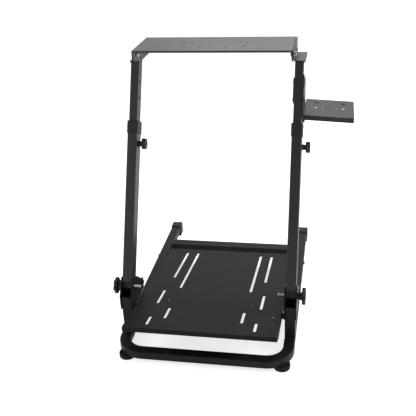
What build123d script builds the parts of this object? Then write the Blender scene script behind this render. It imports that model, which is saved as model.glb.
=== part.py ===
from build123d import *
from math import asin, cos, degrees, radians, sin
import os

os.makedirs("parts", exist_ok=True)

# A folding stand for a racing wheel, its pedals and a gear shifter.
# Sizes are millimetres. Distances "back" run away from the front bar, distances "across"
# run from the middle plane between the two uprights, and heights start at the floor.

# Base frame
base_width = 520.0
base_length = 812.0
ground_gap = 14.0
rail_width = 31.0
rail_height = 25.0
tube_wall = 1.5
tube_corner = 3.0
front_tube_width = 32.0
front_bend_radius = 64.0
seam_back = 115.0
crossbar_gap = 45.8
crossbar_depth = 40.0
foot_radius = 21.5
foot_turn = 45.0
foot_edge = 3.0
foot_screw_radius = 5.0
foot_screw_depth = 4.0
cap_wall = 3.0
cap_length = 36.0

# Posts and hinge brackets
post_depth = 50.0
plate_thickness = 3.0
pivot_from_rear = 10.5
pivot_height = 163.5
pivot_bolt_radius = 5.0
pivot_bolt_tail = 20.0
bracket_overlap = 42.0
bracket_top = 29.0
bracket_arm_back = 77.0
bracket_arm_drop = 32.0
bracket_arm_radius = 12.0
bracket_corner = 4.0
stop_bolt_radius = 4.0

# Uprights
lean = 26.0
lower_depth = 45.0
upright_wall = 1.5
tongue_radius = 11.5
tongue_plug = 45.0
lower_start = 15.0
lower_end = 488.0
collar_overlap = 27.0
collar_rise = 11.0
collar_wall = 2.0
collar_edge = 1.0
height_knob_drop = 57.0
upper_hidden = 248.0
arm_hole_radius = 4.25
arm_hole_drop = 20.0
arm_hole_pitch = 50.0

# Top brackets and wheel plate
bracket_foot_width = 39.0
bracket_foot_reach = 145.0
bracket_leg_reach = 35.0
bracket_leg_height = 50.0
bracket_leg_depth = 26.0
plate_gap = 0.5
wheel_plate_ahead = 45.0
wheel_plate_depth = 173.0
wheel_plate_sheet = 3.0
wheel_plate_lip = 9.0
wheel_flange_drop = 35.5
wheel_flange_inset = 16.0
tilt_ahead = 53.25
tilt_drop = 21.0
tilt_lock_reach = 60.0
tilt_angle = 10.0
tilt_bolt_radius = 4.0
wheel_hole_radius = 3.25
wheel_rect_across = 92.0
wheel_rect_from_front = 76.5
wheel_rect_pitch = 35.0
wheel_rear_pair_across = 72.0
wheel_rear_pair_from_front = 103.0
wheel_front_pair_across = 37.0
wheel_front_pair_from_front = 35.0

# Pedal plate
pedal_side_gap = 10.0
pedal_front = -18.0
pedal_front_drop = 8.0
pedal_rear_rise = 8.4
pedal_length = 617.0
pedal_sheet = 2.5
pedal_lip = 14.0
pedal_flange = 30.0
pedal_slot_radius = 4.0
pedal_hole_radius = 3.5
pedal_front_slots = ((107.0, 70.0, 140.0), (65.0, 25.0, 77.0), (62.0, 165.0, 262.0))
pedal_long_slots = ((107.0, 282.0), (69.0, 360.0))
pedal_long_slot_margin = 25.0
pedal_holes = ((23.0, 122.0), (91.0, 192.0), (28.0, 508.0))
pedal_front_bolt_setback = 23.25
pedal_front_bolt_drop = 13.0
pedal_rear_bolt_margin = 21.0
pedal_rear_bolt_drop = 21.0
pedal_bolt_radius = 3.0
spacer_radius = 9.0

# Shifter arm and plate
arm_above_collar = 16.0
arm_height = 124.0
tube_above_arm = 42.5
arm_rear_reach = 100.0
arm_rear_rise = 11.5
arm_rear_drop = 91.5
clamp_half_length = 36.0
shifter_ahead = 11.0
shifter_depth = 159.0
shifter_width = 146.0
shifter_drop = 69.5
shifter_droop = 3.3
shifter_lip = 15.0
shifter_flange = 24.0
shifter_pair_across = 41.0
shifter_pair_back = 81.0
shifter_hole_radius = 4.5
shifter_slot_back = 126.0
shifter_slot_length = 14.0
shifter_slot_radius = 3.5
shifter_small_across = 20.0
shifter_small_back = 73.5
shifter_small_pitch = 25.0
shifter_small_radius = 3.0
arm_bolt_radius = 4.0
shifter_bolt_radius = 3.0
shifter_bolts_from_front = (21.0, 91.0)
shifter_bolt_drop = 14.0

# Star knobs
pivot_knob_radius = 25.0
pivot_knob_disc = 11.0
pivot_knob_hub_radius = 8.0
pivot_knob_hub = 13.0
height_knob_radius = 17.5
height_knob_disc = 13.0
height_knob_hub_radius = 7.0
height_knob_hub = 5.0
height_boss_radius = 8.5
height_boss = 6.0
height_stud_radius = 4.0
knob_lobes = 6
knob_lobe_share = 0.3
knob_edge = 1.5

# Clearances
running_fit = 0.05
slide_fit = 0.3
seat_gap = 0.3
hinge_play = 0.5
tongue_clearance = 5.0
tube_play = 1.0
slot_fit = 0.3

# Hexagon fasteners: distance across flats and height for each shank size
hex_flats_per_radius = 3.25
hex_height_per_radius = 1.35

sides = ((-1, "left"), (1, "right"))

# Middle lines and edges that follow from the sizes above
rail_centre = base_width / 2 - rail_width / 2
rail_inner = base_width / 2 - rail_width
tube_middle = ground_gap + rail_height / 2
rail_top = ground_gap + rail_height
cheek_inner = rail_inner - plate_thickness
cheek_outer = base_width / 2 + plate_thickness
lean_sin = sin(radians(lean))
lean_cos = cos(radians(lean))

# Pivot above the post's rear edge, so that the tongue swings clear of the post
pivot_back = seam_back + post_depth - pivot_from_rear
post_top = pivot_height - tongue_radius - tongue_clearance
pedal_front_height = post_top - pedal_front_drop

# Telescoping tubes, sized one inside the other
lower_width = rail_width - 2 * hinge_play
upper_width = lower_width - 2 * (upright_wall + tube_play)
upper_depth = lower_depth - 2 * (upright_wall + tube_play)

# Stations along the uprights, measured from the pivot
collar_start = lower_end - collar_overlap
collar_end = lower_end + collar_rise
height_knob_at = lower_end - height_knob_drop
upper_start = lower_end - upper_hidden
arm_start = collar_end + arm_above_collar
arm_end = arm_start + arm_height
arm_hole_top = arm_end - arm_hole_drop
upper_end = arm_end + tube_above_arm

# Wheel plate between the top brackets
upper_top = pivot_height + upper_end * lean_cos
leg_top = upper_top + bracket_leg_height
wheel_plate_top = leg_top + wheel_plate_sheet
wheel_plate_half = rail_centre - upper_width / 2 - plate_thickness
bracket_leg_face = wheel_plate_half + plate_gap
bracket_leg_outer = bracket_leg_face + plate_thickness
tilt_height = wheel_plate_top - tilt_drop
tilt_back = pivot_back + upper_end * lean_sin - tilt_ahead
wheel_plate_front = tilt_back - wheel_plate_ahead
wheel_plate_rear = wheel_plate_front + wheel_plate_depth

# Pedal plate between the rails, sloping down to just above them
pedal_half = rail_inner - pedal_side_gap
pedal_sin = (pedal_front_height - rail_top - pedal_rear_rise) / pedal_length
pedal_tilt = degrees(asin(pedal_sin))
pedal_cos = cos(radians(pedal_tilt))
pedal_rear = pedal_front + pedal_length * pedal_cos
crossbar_back = pedal_rear + crossbar_gap
pedal_front_bolt_at = (seam_back + pedal_front_bolt_setback - pedal_front) / pedal_cos
pedal_rear_bolt_at = pedal_length - pedal_rear_bolt_margin

# Shifter plate on the right upper tube, placed from the middle of the arm's bolts
droop_sin = sin(radians(shifter_droop))
droop_cos = cos(radians(shifter_droop))
arm_bolt_middle = arm_hole_top - arm_hole_pitch / 2
arm_back = pivot_back + arm_bolt_middle * lean_sin
arm_middle_height = pivot_height + arm_bolt_middle * lean_cos
arm_face = rail_centre + upper_width / 2 + plate_thickness
arm_rear = arm_back + arm_rear_reach
arm_rear_top = arm_middle_height + arm_rear_rise
arm_rear_bottom = arm_middle_height - arm_rear_drop
shifter_front = arm_back - shifter_ahead
shifter_top = arm_middle_height - shifter_drop

# The origin lies on the floor, in the middle of the stand's overall width and depth
pivot_knob_reach = cheek_outer + pivot_knob_hub + pivot_knob_disc
shifter_reach = arm_face + shifter_width * droop_cos
mid_x = (pivot_knob_reach - shifter_reach) / 2
front_reach = pedal_lip * pedal_sin - pedal_front
front_y = (front_reach - base_length) / 2


def level(height):
    """Horizontal plane: x across, y back."""
    return Plane(origin=(mid_x, front_y, height), x_dir=(1, 0, 0), z_dir=(0, 0, 1))


def across(distance):
    """Upright plane along the stand, facing +X: x back, y up."""
    return Plane(origin=(mid_x + distance, front_y, 0), x_dir=(0, 1, 0), z_dir=(1, 0, 0))


def facing(back):
    """Upright plane across the stand, facing the front: x across, y up."""
    return Plane(origin=(mid_x, front_y + back, 0), x_dir=(1, 0, 0), z_dir=(0, -1, 0))


def along_upright(distance, centre):
    """Plane square to a leaning upright, at a distance above its pivot."""
    return Plane(
        origin=(
            mid_x + centre,
            front_y + pivot_back + distance * lean_sin,
            pivot_height + distance * lean_cos,
        ),
        x_dir=(1, 0, 0),
        z_dir=(0, lean_sin, lean_cos),
    )


def beside_upright(distance):
    """Plane along the side of the uprights with its origin at the pivot: x rearward, y along."""
    return Plane(
        origin=(mid_x + distance, front_y + pivot_back, pivot_height),
        x_dir=(0, lean_cos, -lean_sin),
        z_dir=(1, 0, 0),
    )


def upright_point(rearward, distance):
    """Back and height of a point given in the upright's own directions."""
    back = pivot_back + distance * lean_sin + rearward * lean_cos
    height = pivot_height + distance * lean_cos - rearward * lean_sin
    return (back, height)


def pedal_plane(drop):
    """Plane along the tilted pedal plate, from its front edge: x across, y down the slope."""
    return Plane(
        origin=(
            mid_x,
            front_y + pedal_front - drop * pedal_sin,
            pedal_front_height - drop * pedal_cos,
        ),
        x_dir=(1, 0, 0),
        z_dir=(0, pedal_sin, pedal_cos),
    )


def pedal_side(distance):
    """Plane along the side of the pedal plate: x down the slope, y square to the sheet."""
    return Plane(
        origin=(mid_x + distance, front_y + pedal_front, pedal_front_height),
        x_dir=(0, pedal_cos, -pedal_sin),
        z_dir=(1, 0, 0),
    )


def pedal_bolt_point(at, drop):
    """Back and height of a pedal plate bolt from its place on the plate."""
    back = pedal_front + at * pedal_cos - drop * pedal_sin
    height = pedal_front_height - at * pedal_sin - drop * pedal_cos
    return (back, height)


def shifter_plane(drop):
    """Plane along the drooping shifter plate, from its inner edge: x outward, y back."""
    return Plane(
        origin=(
            mid_x + arm_face - drop * droop_sin,
            front_y + shifter_front,
            shifter_top - drop * droop_cos,
        ),
        x_dir=(droop_cos, 0, -droop_sin),
        z_dir=(droop_sin, 0, droop_cos),
    )


def hex_sketch(radius):
    """Hexagon of a nut or bolt head for a shank of the given radius."""
    RegularPolygon(hex_flats_per_radius * radius / 2, 6, major_radius=False)


def tube_section(width, depth, wall, corner):
    """Rounded rectangular tube section about the sketch's origin."""
    RectangleRounded(width, depth, corner)
    RectangleRounded(width - 2 * wall, depth - 2 * wall, corner - wall, mode=Mode.SUBTRACT)


def star_sketch(radius):
    """Star knob outline: round lobes joined by shallow scoops."""
    lobe = radius * knob_lobe_share
    Circle(radius - lobe)
    with PolarLocations(radius - lobe, knob_lobes):
        Circle(lobe)


pedal_front_bolt = pedal_bolt_point(pedal_front_bolt_at, pedal_front_bolt_drop)
pedal_rear_bolt = pedal_bolt_point(pedal_rear_bolt_at, pedal_rear_bolt_drop)
stop_bolt = (pivot_back + bracket_arm_back, pivot_height - bracket_arm_drop)

# Front tube: one bar bent round both front corners
with BuildPart() as front_tube:
    with BuildLine(level(tube_middle)) as front_path:
        leg = base_width / 2 - front_tube_width / 2
        FilletPolyline(
            (-leg, seam_back),
            (-leg, front_tube_width / 2),
            (leg, front_tube_width / 2),
            (leg, seam_back),
            radius=front_bend_radius,
        )
    with BuildSketch(facing(seam_back)) as front_section:
        with Locations((-leg, tube_middle)):
            tube_section(front_tube_width, rail_height, tube_wall, tube_corner)
    sweep(path=front_path.wires()[0])
front_tube.part.label = "front_tube"
export_step(front_tube.part, "parts/front_tube.step")

# Rear crossbar between the rails
with BuildPart() as rear_crossbar:
    with BuildSketch(across(-rail_inner)) as crossbar_section:
        with Locations((crossbar_back + crossbar_depth / 2, tube_middle)):
            tube_section(crossbar_depth, rail_height, tube_wall, tube_corner)
    extrude(amount=2 * rail_inner)
rear_crossbar.part.label = "rear_crossbar"
export_step(rear_crossbar.part, "parts/rear_crossbar.step")

for side, word in sides:
    centre = side * rail_centre

    # Side rail from the seam to inside its end cap
    with BuildPart() as rail:
        with BuildSketch(facing(seam_back)):
            with Locations((centre, tube_middle)):
                tube_section(rail_width, rail_height, tube_wall, tube_corner)
        extrude(amount=-(base_length - cap_wall - seam_back))
        with BuildSketch(across(centre - rail_width / 2)):
            with Locations(pedal_rear_bolt):
                Circle(pedal_bolt_radius)
        extrude(amount=rail_width, mode=Mode.SUBTRACT)
    rail.part.label = f"{word}_rail"
    export_step(rail.part, f"parts/{word}_rail.step")

    # End cap that wraps the rail and stands on the floor
    with BuildPart() as rail_cap:
        cap_height = rail_top + cap_wall
        with BuildSketch(facing(base_length)):
            with Locations((centre, cap_height / 2)):
                RectangleRounded(rail_width + 2 * cap_wall, cap_height, tube_corner)
        extrude(amount=cap_length)
        with BuildSketch(facing(base_length - cap_wall)):
            with Locations((centre, tube_middle)):
                RectangleRounded(rail_width, rail_height, tube_corner)
        extrude(amount=cap_length, mode=Mode.SUBTRACT)
    rail_cap.part.label = f"{word}_rail_cap"
    export_step(rail_cap.part, f"parts/{word}_rail_cap.step")

    # Rubber foot screwed under the front bend, with its screw recess
    with BuildPart() as front_foot:
        bend = base_width / 2 - front_tube_width / 2 - front_bend_radius
        foot_out = front_bend_radius * sin(radians(foot_turn))
        foot_in = front_bend_radius * (1 - cos(radians(foot_turn)))
        foot_spot = (side * (bend + foot_out), front_tube_width / 2 + foot_in)
        with BuildSketch(level(0)):
            with Locations(foot_spot):
                Circle(foot_radius)
                Circle(foot_screw_radius, mode=Mode.SUBTRACT)
        extrude(amount=foot_screw_depth)
        with BuildSketch(level(foot_screw_depth)):
            with Locations(foot_spot):
                Circle(foot_radius)
        extrude(amount=ground_gap - foot_screw_depth)
        rims = front_foot.edges().filter_by(GeomType.CIRCLE)
        fillet(rims.filter_by(lambda e: e.radius == foot_radius).group_by(Axis.Z)[0], foot_edge)
    front_foot.part.label = f"{word}_front_foot"
    export_step(front_foot.part, f"parts/{word}_front_foot.step")

    # Post standing on the rail, bored for the front pedal plate bolt
    with BuildPart() as post:
        with BuildSketch(level(rail_top)):
            with Locations((centre, seam_back + post_depth / 2)):
                tube_section(rail_width, post_depth, tube_wall, tube_corner)
        extrude(amount=post_top - rail_top)
        with BuildSketch(across(centre - rail_width / 2)):
            with Locations(pedal_front_bolt):
                Circle(pedal_bolt_radius)
        extrude(amount=rail_width, mode=Mode.SUBTRACT)
    post.part.label = f"{word}_post"
    export_step(post.part, f"parts/{word}_post.step")

    # Hinge bracket: two cheek plates on the post, with an arm behind for the fold stop
    with BuildPart() as hinge_bracket:
        cheek_front = seam_back - plate_thickness
        tube_front = upright_point(-lower_depth / 2, bracket_top)
        tube_rear = upright_point(lower_depth / 2, bracket_top)
        arm_tip = (stop_bolt[0] + bracket_arm_radius, stop_bolt[1])
        for inner_face in (centre - rail_width / 2 - plate_thickness, centre + rail_width / 2):
            with BuildSketch(across(inner_face)):
                with BuildLine():
                    FilletPolyline(
                        (cheek_front, post_top - bracket_overlap),
                        (cheek_front, post_top + plate_thickness),
                        tube_front,
                        tube_rear,
                        (stop_bolt[0], stop_bolt[1] + bracket_arm_radius),
                        (arm_tip[0], stop_bolt[1] + bracket_arm_radius),
                        (arm_tip[0], stop_bolt[1] - bracket_arm_radius),
                        (seam_back + post_depth, post_top - bracket_overlap),
                        radius=bracket_corner,
                        close=True,
                    )
                make_face()
                with Locations((pivot_back, pivot_height)):
                    Circle(pivot_bolt_radius + running_fit, mode=Mode.SUBTRACT)
                with Locations(stop_bolt):
                    Circle(stop_bolt_radius, mode=Mode.SUBTRACT)
                with Locations(pedal_front_bolt):
                    Circle(spacer_radius, mode=Mode.SUBTRACT)
            extrude(amount=plate_thickness)
    hinge_bracket.part.label = f"{word}_hinge_bracket"
    export_step(hinge_bracket.part, f"parts/{word}_hinge_bracket.step")

    # Stop bolt across the bracket's arms, where the folded upright comes to rest
    with BuildPart() as stop_pin:
        stop_hex = stop_bolt_radius * hex_height_per_radius
        with BuildSketch(across(centre - rail_width / 2 - plate_thickness - stop_hex)):
            with Locations(stop_bolt):
                Circle(stop_bolt_radius)
        extrude(amount=rail_width + 2 * plate_thickness + 2 * stop_hex)
        for face in (-rail_width / 2 - plate_thickness - stop_hex, rail_width / 2 + plate_thickness):
            with BuildSketch(across(centre + face)):
                with Locations(stop_bolt):
                    hex_sketch(stop_bolt_radius)
            extrude(amount=stop_hex)
    stop_pin.part.label = f"{word}_stop_bolt"
    export_step(stop_pin.part, f"parts/{word}_stop_bolt.step")

    # Spacers that hold the pedal plate's side flange off the post and the rail
    with BuildPart() as pedal_spacers:
        start = side * (pedal_half + pedal_side_gap / 2) - pedal_side_gap / 2
        with BuildSketch(across(start)):
            with Locations(pedal_front_bolt, pedal_rear_bolt):
                Circle(spacer_radius)
                Circle(pedal_bolt_radius, mode=Mode.SUBTRACT)
        extrude(amount=pedal_side_gap)
    pedal_spacers.part.label = f"{word}_pedal_spacers"
    export_step(pedal_spacers.part, f"parts/{word}_pedal_spacers.step")

    # Bolts through post or rail, spacer and pedal plate flange
    with BuildPart() as pedal_bolts:
        bolt_hex = pedal_bolt_radius * hex_height_per_radius
        nut_face = pedal_half - pedal_sheet
        middle = side * (nut_face + base_width / 2) / 2
        grip = base_width / 2 - nut_face
        for spot in (pedal_front_bolt, pedal_rear_bolt):
            with BuildSketch(across(middle - grip / 2 - bolt_hex)):
                with Locations(spot):
                    Circle(pedal_bolt_radius)
            extrude(amount=grip + 2 * bolt_hex)
            for face in (-grip / 2 - bolt_hex, grip / 2):
                with BuildSketch(across(middle + face)):
                    with Locations(spot):
                        hex_sketch(pedal_bolt_radius)
                extrude(amount=bolt_hex)
    pedal_bolts.part.label = f"{word}_pedal_bolts"
    export_step(pedal_bolts.part, f"parts/{word}_pedal_bolts.step")

    # Pivot block: plug in the upright's end with a round tongue about the pivot bolt
    with BuildPart() as pivot_block:
        with BuildSketch(beside_upright(centre - lower_width / 2)):
            with BuildLine():
                Polyline(
                    (tongue_radius, 0),
                    (tongue_radius, lower_start),
                    (-tongue_radius, lower_start),
                    (-tongue_radius, 0),
                )
                RadiusArc((-tongue_radius, 0), (tongue_radius, 0), -tongue_radius)
            make_face()
        extrude(amount=lower_width)
        with BuildSketch(along_upright(lower_start, centre)):
            inside = 2 * upright_wall
            RectangleRounded(lower_width - inside, lower_depth - inside, tube_corner - upright_wall)
        extrude(amount=tongue_plug)
        with BuildSketch(beside_upright(centre - lower_width / 2)):
            Circle(pivot_bolt_radius + running_fit)
        extrude(amount=lower_width, mode=Mode.SUBTRACT)
    pivot_block.part.label = f"{word}_pivot_block"
    export_step(pivot_block.part, f"parts/{word}_pivot_block.step")

    # Lower upright with a threaded boss for the height knob on its right-hand face
    with BuildPart() as lower_upright:
        with BuildSketch(along_upright(lower_start, centre)):
            tube_section(lower_width, lower_depth, upright_wall, tube_corner)
        extrude(amount=lower_end - lower_start)
        boss_face = centre + lower_width / 2
        with BuildSketch(beside_upright(boss_face)):
            with Locations((0, height_knob_at)):
                Circle(height_boss_radius)
        extrude(amount=height_boss)
        with BuildSketch(beside_upright(boss_face - upright_wall)):
            with Locations((0, height_knob_at)):
                Circle(height_stud_radius + running_fit)
        extrude(amount=upright_wall + height_boss, mode=Mode.SUBTRACT)
    lower_upright.part.label = f"{word}_lower_upright"
    export_step(lower_upright.part, f"parts/{word}_lower_upright.step")

    # Plastic collar over the lower upright's top, which guides the upper tube
    with BuildPart() as collar:
        collar_width = lower_width + 2 * collar_wall
        collar_depth = lower_depth + 2 * collar_wall
        with BuildSketch(along_upright(collar_start, centre)):
            RectangleRounded(collar_width, collar_depth, tube_corner + collar_wall)
        extrude(amount=collar_end - collar_start)
        rim = collar.faces().sort_by(Axis((0, 0, 0), (0, lean_sin, lean_cos)))[-1]
        chamfer(rim.edges(), collar_edge)
        with BuildSketch(along_upright(collar_start, centre)):
            RectangleRounded(lower_width, lower_depth, tube_corner)
        extrude(amount=lower_end - collar_start, mode=Mode.SUBTRACT)
        with BuildSketch(along_upright(lower_end, centre)):
            play = 2 * slide_fit
            RectangleRounded(upper_width + play, upper_depth + play, tube_corner)
        extrude(amount=collar_end - lower_end, mode=Mode.SUBTRACT)
    collar.part.label = f"{word}_collar"
    export_step(collar.part, f"parts/{word}_collar.step")

    # Upper tube, cut level at the top, with two holes for a shifter arm
    with BuildPart() as upper_tube:
        with BuildSketch(along_upright(upper_start, centre)):
            tube_section(upper_width, upper_depth, upright_wall, tube_corner)
        extrude(amount=upper_end + upper_depth - upper_start)
        split(bisect_by=level(upper_top), keep=Keep.BOTTOM)
        with BuildSketch(beside_upright(centre - upper_width / 2)):
            with Locations((0, arm_hole_top), (0, arm_hole_top - arm_hole_pitch)):
                Circle(arm_hole_radius)
        extrude(amount=upper_width, mode=Mode.SUBTRACT)
    upper_tube.part.label = f"{word}_upper_tube"
    export_step(upper_tube.part, f"parts/{word}_upper_tube.step")

    # Top bracket: a level foot on the tube and an upright leg beside the wheel plate
    with BuildPart() as top_bracket:
        tube_end = upright_point(0, upper_end)[0]
        foot_front = tube_end - upper_depth / 2 / lean_cos - plate_thickness
        foot_rear = tilt_back + bracket_foot_reach
        foot_length = foot_rear - foot_front
        foot_middle = side * (bracket_leg_face + bracket_foot_width / 2)
        with BuildSketch(level(upper_top)):
            with Locations((foot_middle, foot_front + foot_length / 2)):
                Rectangle(bracket_foot_width, foot_length)
        extrude(amount=plate_thickness)
        leg_start = side * (bracket_leg_face + plate_thickness / 2) - plate_thickness / 2
        with BuildLine(mode=Mode.PRIVATE) as lock_path:
            CenterArc((0, 0), tilt_lock_reach, -tilt_angle, 2 * tilt_angle)
        lock_arc = lock_path.edges()[0]
        with BuildSketch(across(leg_start)):
            with BuildLine():
                Polyline(
                    (foot_front, upper_top),
                    (foot_rear, upper_top),
                    (foot_rear, leg_top),
                    (tilt_back - bracket_leg_reach, leg_top),
                    (tilt_back - bracket_leg_reach, leg_top - bracket_leg_depth),
                    (foot_front, upper_top),
                )
            make_face()
            with Locations((tilt_back, tilt_height)):
                Circle(tilt_bolt_radius + running_fit, mode=Mode.SUBTRACT)
                SlotArc(
                    lock_arc,
                    2 * (tilt_bolt_radius + slot_fit),
                    mode=Mode.SUBTRACT,
                )
        extrude(amount=plate_thickness)
    top_bracket.part.label = f"{word}_top_bracket"
    export_step(top_bracket.part, f"parts/{word}_top_bracket.step")

    # Tilt pivot and tilt lock bolts through the bracket leg and the wheel plate flange
    with BuildPart() as tilt_bolts:
        tilt_hex = tilt_bolt_radius * hex_height_per_radius
        inside_face = wheel_plate_half - wheel_plate_sheet
        outside_face = bracket_leg_outer + seat_gap
        grip_middle = side * (inside_face + outside_face) / 2
        tilt_grip = outside_face - inside_face
        for reach in (0, tilt_lock_reach):
            spot = (tilt_back + reach, tilt_height)
            with BuildSketch(across(grip_middle - tilt_grip / 2 - tilt_hex)):
                with Locations(spot):
                    Circle(tilt_bolt_radius)
            extrude(amount=tilt_grip + 2 * tilt_hex)
            for face in (-tilt_grip / 2 - tilt_hex, tilt_grip / 2):
                with BuildSketch(across(grip_middle + face)):
                    with Locations(spot):
                        hex_sketch(tilt_bolt_radius)
                extrude(amount=tilt_hex)
    tilt_bolts.part.label = f"{word}_tilt_bolts"
    export_step(tilt_bolts.part, f"parts/{word}_tilt_bolts.step")

    # Pivot bolt: a plain stud whose tail shows inside the bracket
    with BuildPart() as pivot_bolt:
        tail = cheek_inner - pivot_bolt_tail
        knob_seat = cheek_outer + pivot_knob_hub
        length = knob_seat - tail
        with BuildSketch(across(side * (tail + length / 2) - length / 2)):
            with Locations((pivot_back, pivot_height)):
                Circle(pivot_bolt_radius)
        extrude(amount=length)
    pivot_bolt.part.label = f"{word}_pivot_bolt"
    export_step(pivot_bolt.part, f"parts/{word}_pivot_bolt.step")

    # Pivot knob on the outer end of the bolt
    with BuildPart() as pivot_knob:
        seat = side * (cheek_outer + seat_gap)
        hub_depth = pivot_knob_hub - seat_gap
        with BuildSketch(across(seat)):
            with Locations((pivot_back, pivot_height)):
                Circle(pivot_knob_hub_radius)
        extrude(amount=side * hub_depth)
        with BuildSketch(across(side * (cheek_outer + pivot_knob_hub))):
            with Locations((pivot_back, pivot_height)):
                star_sketch(pivot_knob_radius)
        extrude(amount=side * pivot_knob_disc)
        chamfer(pivot_knob.faces().sort_by(Axis.X)[-1 if side > 0 else 0].edges(), knob_edge)
        with BuildSketch(across(seat)):
            with Locations((pivot_back, pivot_height)):
                Circle(pivot_bolt_radius)
        extrude(amount=side * hub_depth, mode=Mode.SUBTRACT)
    pivot_knob.part.label = f"{word}_pivot_knob"
    export_step(pivot_knob.part, f"parts/{word}_pivot_knob.step")

    # Height stud: presses on the upper tube through the boss
    boss_end = centre + lower_width / 2 + height_boss
    stud_tip = centre + upper_width / 2 + seat_gap
    knob_start = boss_end + seat_gap
    with BuildPart() as height_stud:
        with BuildSketch(beside_upright(stud_tip)):
            with Locations((0, height_knob_at)):
                Circle(height_stud_radius)
        extrude(amount=knob_start + height_knob_hub - stud_tip)
    height_stud.part.label = f"{word}_height_stud"
    export_step(height_stud.part, f"parts/{word}_height_stud.step")

    # Height knob on the stud
    with BuildPart() as height_knob:
        with BuildSketch(beside_upright(knob_start)):
            with Locations((0, height_knob_at)):
                Circle(height_knob_hub_radius)
        extrude(amount=height_knob_hub)
        with BuildSketch(beside_upright(knob_start + height_knob_hub)):
            with Locations((0, height_knob_at)):
                star_sketch(height_knob_radius)
        extrude(amount=height_knob_disc)
        chamfer(height_knob.faces().sort_by(Axis.X)[-1].edges(), knob_edge)
        with BuildSketch(beside_upright(knob_start)):
            with Locations((0, height_knob_at)):
                Circle(height_stud_radius)
        extrude(amount=height_knob_hub, mode=Mode.SUBTRACT)
    height_knob.part.label = f"{word}_height_knob"
    export_step(height_knob.part, f"parts/{word}_height_knob.step")

pedal_slot_end = pedal_length - pedal_long_slot_margin
pedal_long = [(inset, near, pedal_slot_end) for inset, near in pedal_long_slots]
pedal_slots = [*pedal_front_slots, *pedal_long]

# Pedal plate: folded sheet with slots for pedal sets, side flanges and end lips
with BuildPart() as pedal_plate:
    with BuildSketch(pedal_plane(pedal_sheet)):
        with Locations((0, pedal_length / 2)):
            Rectangle(2 * pedal_half, pedal_length)
        for side, word in sides:
            for inset, near, far in pedal_slots:
                with Locations((side * (pedal_half - inset), (near + far) / 2)):
                    SlotOverall(far - near, 2 * pedal_slot_radius, rotation=90, mode=Mode.SUBTRACT)
            for inset, near in pedal_holes:
                with Locations((side * (pedal_half - inset), near)):
                    Circle(pedal_hole_radius, mode=Mode.SUBTRACT)
    extrude(amount=pedal_sheet)
    for start in (-pedal_half, pedal_half - pedal_sheet):
        with BuildSketch(pedal_side(start)):
            with BuildLine():
                Polyline(
                    (0, 0),
                    (pedal_length, 0),
                    (pedal_length, -pedal_flange),
                    (pedal_lip, -pedal_flange),
                    (0, -pedal_lip),
                    close=True,
                )
            make_face()
            with Locations(
                (pedal_front_bolt_at, -pedal_front_bolt_drop),
                (pedal_rear_bolt_at, -pedal_rear_bolt_drop),
            ):
                Circle(pedal_bolt_radius, mode=Mode.SUBTRACT)
        extrude(amount=pedal_sheet)
    for near in (0, pedal_length - pedal_sheet):
        with BuildSketch(pedal_plane(pedal_lip)):
            with Locations((0, near + pedal_sheet / 2)):
                Rectangle(2 * pedal_half, pedal_sheet)
        extrude(amount=pedal_lip)
pedal_plate.part.label = "pedal_plate"
export_step(pedal_plate.part, "parts/pedal_plate.step")

# Wheel plate: folded sheet with holes for wheel bases, side flanges and end lips
with BuildPart() as wheel_plate:
    with BuildSketch(level(wheel_plate_top - wheel_plate_sheet)):
        with Locations((0, wheel_plate_front + wheel_plate_depth / 2)):
            Rectangle(2 * wheel_plate_half, wheel_plate_depth)
        with Locations((0, wheel_plate_front + wheel_rect_from_front)):
            with GridLocations(2 * wheel_rect_across, wheel_rect_pitch, 2, 2):
                Circle(wheel_hole_radius, mode=Mode.SUBTRACT)
        with Locations((0, wheel_plate_front + wheel_rear_pair_from_front)):
            with GridLocations(2 * wheel_rear_pair_across, 0, 2, 1):
                Circle(wheel_hole_radius, mode=Mode.SUBTRACT)
        with Locations((0, wheel_plate_front + wheel_front_pair_from_front)):
            with GridLocations(2 * wheel_front_pair_across, 0, 2, 1):
                Circle(wheel_hole_radius, mode=Mode.SUBTRACT)
    extrude(amount=wheel_plate_sheet)
    for start in (-wheel_plate_half, wheel_plate_half - wheel_plate_sheet):
        with BuildSketch(across(start)):
            with BuildLine():
                Polyline(
                    (wheel_plate_front, wheel_plate_top),
                    (wheel_plate_rear, wheel_plate_top),
                    (wheel_plate_rear, wheel_plate_top - wheel_plate_lip),
                    (wheel_plate_rear - wheel_flange_inset, wheel_plate_top - wheel_flange_drop),
                    (wheel_plate_front + wheel_flange_inset, wheel_plate_top - wheel_flange_drop),
                    (wheel_plate_front, wheel_plate_top - wheel_plate_lip),
                    close=True,
                )
            make_face()
            with Locations((tilt_back, tilt_height), (tilt_back + tilt_lock_reach, tilt_height)):
                Circle(tilt_bolt_radius, mode=Mode.SUBTRACT)
        extrude(amount=wheel_plate_sheet)
    for edge in (wheel_plate_front, wheel_plate_rear - wheel_plate_sheet):
        with BuildSketch(level(wheel_plate_top - wheel_plate_lip)):
            with Locations((0, edge + wheel_plate_sheet / 2)):
                Rectangle(2 * wheel_plate_half, wheel_plate_sheet)
        extrude(amount=wheel_plate_lip)
wheel_plate.part.label = "wheel_plate"
export_step(wheel_plate.part, "parts/wheel_plate.step")

arm_bolt_spots = ((0, arm_hole_top), (0, arm_hole_top - arm_hole_pitch))
shifter_bolt_height = shifter_top - shifter_bolt_drop
shifter_bolt_spots = [(shifter_front + back, shifter_bolt_height) for back in shifter_bolts_from_front]

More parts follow.
